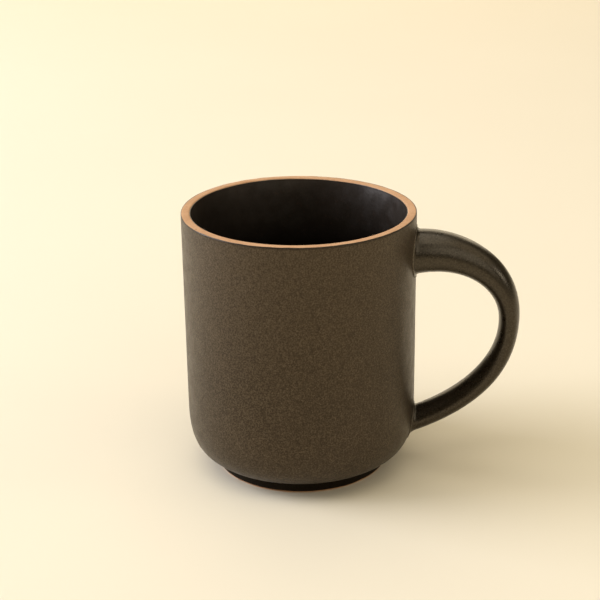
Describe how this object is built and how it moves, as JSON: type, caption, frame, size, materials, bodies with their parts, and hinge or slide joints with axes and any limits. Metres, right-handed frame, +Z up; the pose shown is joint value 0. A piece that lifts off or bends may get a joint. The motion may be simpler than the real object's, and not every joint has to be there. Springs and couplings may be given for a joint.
{
  "type": "mug",
  "caption": "Handled stoneware mug with a straight wall, a rounded turn to a foot ring, a pulled handle, dark glaze and a bare clay rim.",
  "frame": {"origin": "on the table plane, under the middle of the whole mug with its handle; the cup's own axis is the line x = -0.01875, y = 0", "axes": "+Z up along the cup's axis, +X from the cup towards the handle, +Y across the mug's plane of symmetry"},
  "size_m": [0.1216, 0.084, 0.097],
  "materials": {
    "bare_clay": "matte",
    "slip": "matte",
    "charcoal_glaze": "satin",
    "liner_glaze": "satin"
  },
  "bodies": {
    "root": {"cup_body": "bare_clay", "foot_ring": "bare_clay", "handle": "bare_clay", "upper_slip_joint": "slip", "lower_slip_joint": "slip", "outside_glaze": "charcoal_glaze", "liner_glaze": "liner_glaze", "handle_glaze": "charcoal_glaze", "foot_glaze": "charcoal_glaze", "foot_well_glaze": "charcoal_glaze"}
  },
  "joints": []
}
